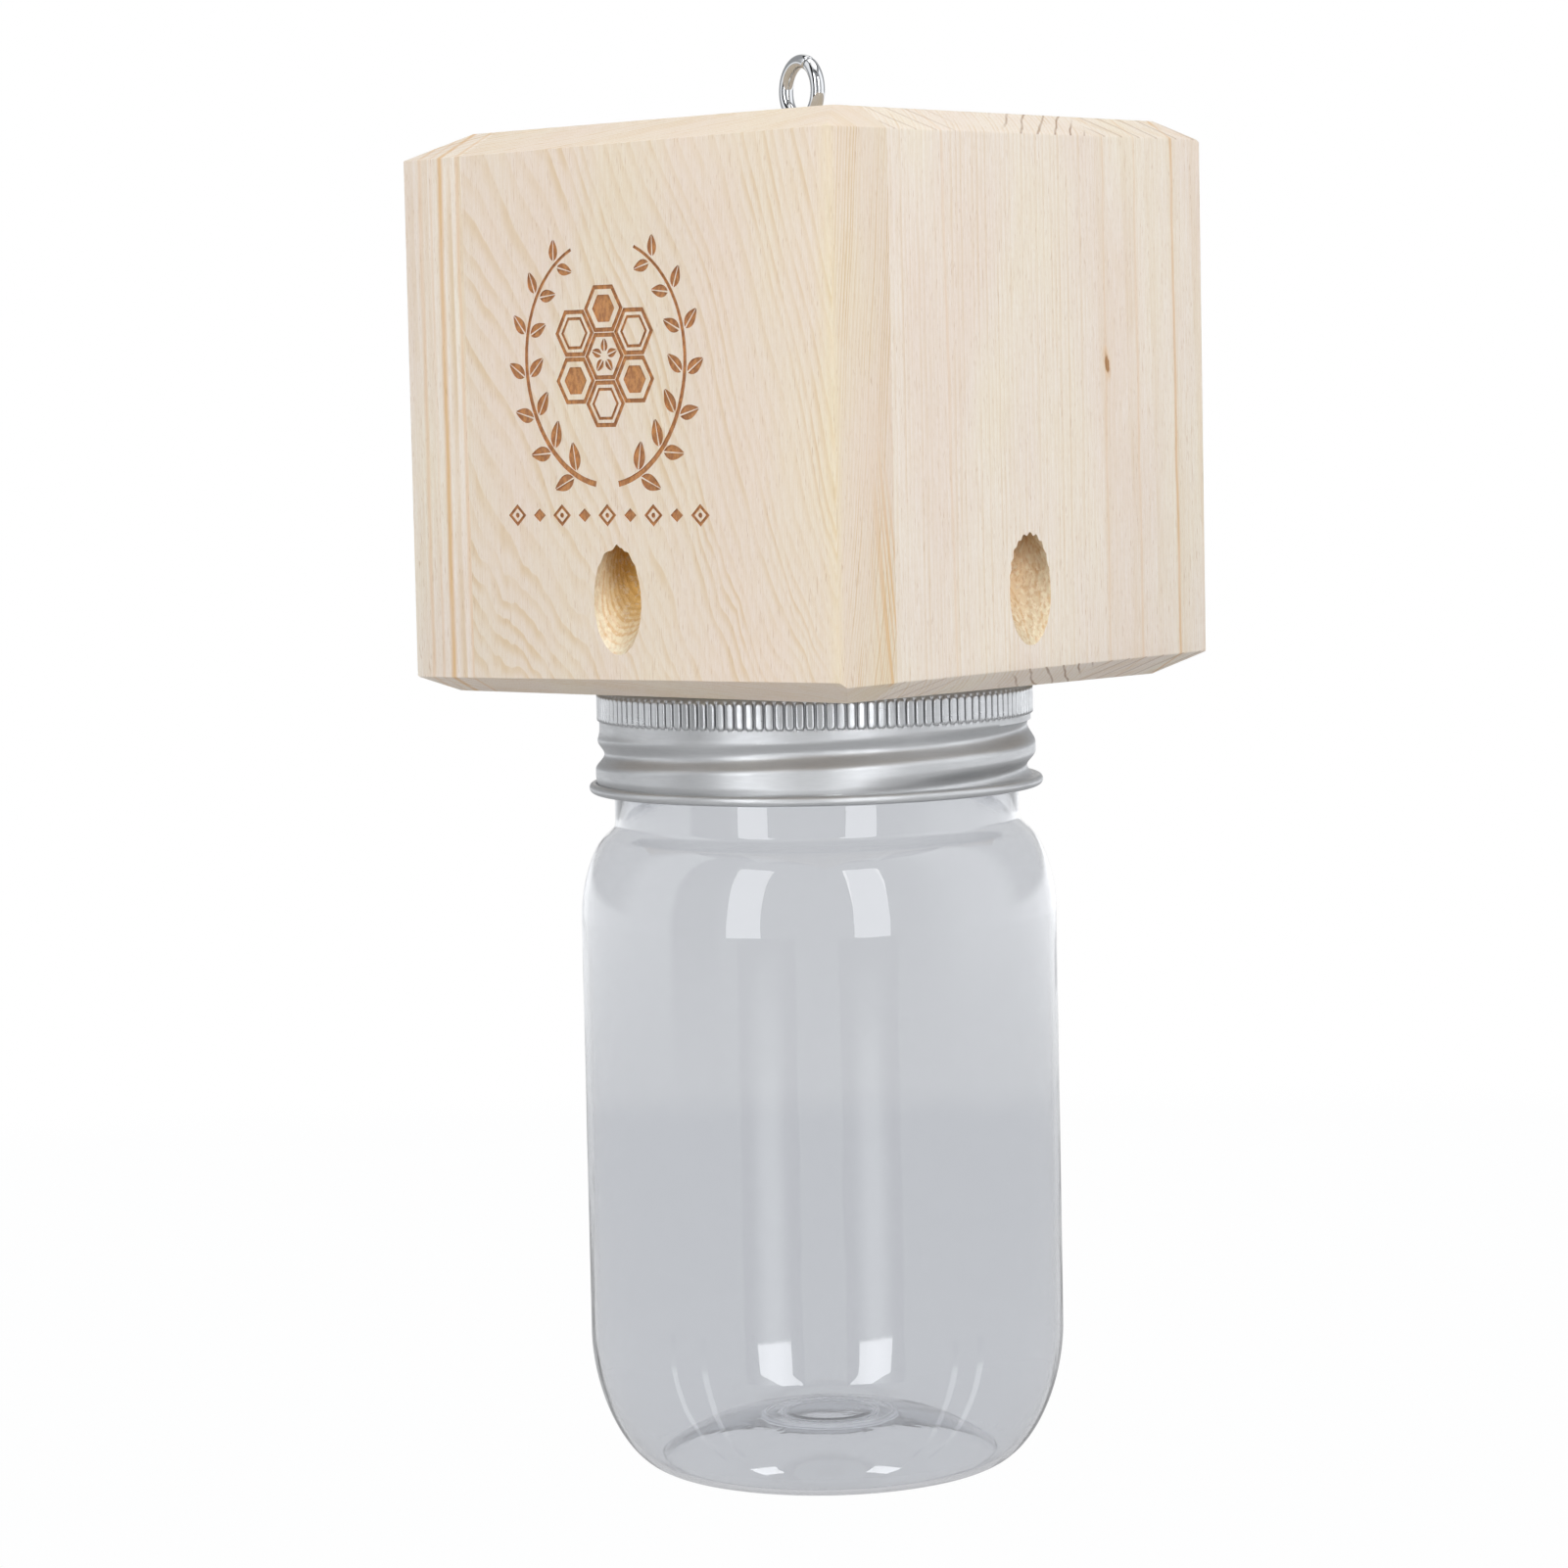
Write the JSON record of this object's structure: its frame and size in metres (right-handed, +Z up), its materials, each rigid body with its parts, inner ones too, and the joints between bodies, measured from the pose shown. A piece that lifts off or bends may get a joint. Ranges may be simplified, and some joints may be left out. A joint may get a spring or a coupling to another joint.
{
  "type": "carpenter bee trap",
  "caption": "Hanging hollow pine block with upward-slanting entry holes over a clear screw-on jar for carpenter bees",
  "frame": {"origin": "where a hook bears in the screw eye, the highest point inside its ring, on the axis of the block and the jar", "axes": "+Z up along the jar's axis, -Y out of the front of the block, +X out of its right side"},
  "size_m": [0.094, 0.094, 0.2368],
  "materials": {
    "front_wood": "raw sanded pine, flat grain",
    "block_wood": "raw sanded pine, straight grain",
    "eye_chrome": "bright plated",
    "lid_tin": "satin tinplate",
    "band_tin": "satin tinplate, knurled grip",
    "seal_rubber": "soft sealing compound",
    "screw_zinc": "zinc plated",
    "jar_plastic": "clear, gloss"
  },
  "bodies": {
    "block": {"front_board": "front_wood", "right_board": "block_wood", "back_board": "block_wood", "left_board": "block_wood", "top_plate": "block_wood", "bottom_plate": "block_wood", "screw_eye": "eye_chrome", "lid_disc": "lid_tin", "lid_seal": "seal_rubber", "lid_screw_1": "screw_zinc", "lid_screw_2": "screw_zinc", "lid_screw_3": "screw_zinc", "lid_screw_4": "screw_zinc"},
    "band": {"lid_band": "band_tin"},
    "jar": {"jar": "jar_plastic"}
  },
  "joints": [
    {"name": "band_turn", "type": "hinge", "parent": "block", "child": "band", "pos_m": [0, 0, -0.11], "axis": [0, 0, 1], "range_deg": [0, 1080]},
    {"name": "jar_drop", "type": "slide", "parent": "block", "child": "jar", "axis": [0, 0, -1], "range_m": [0, 0.0191]}
  ],
  "couplings": [
    {"joint": "jar_drop", "follows": "band_turn", "m_per_rad": 0.0010106}
  ]
}
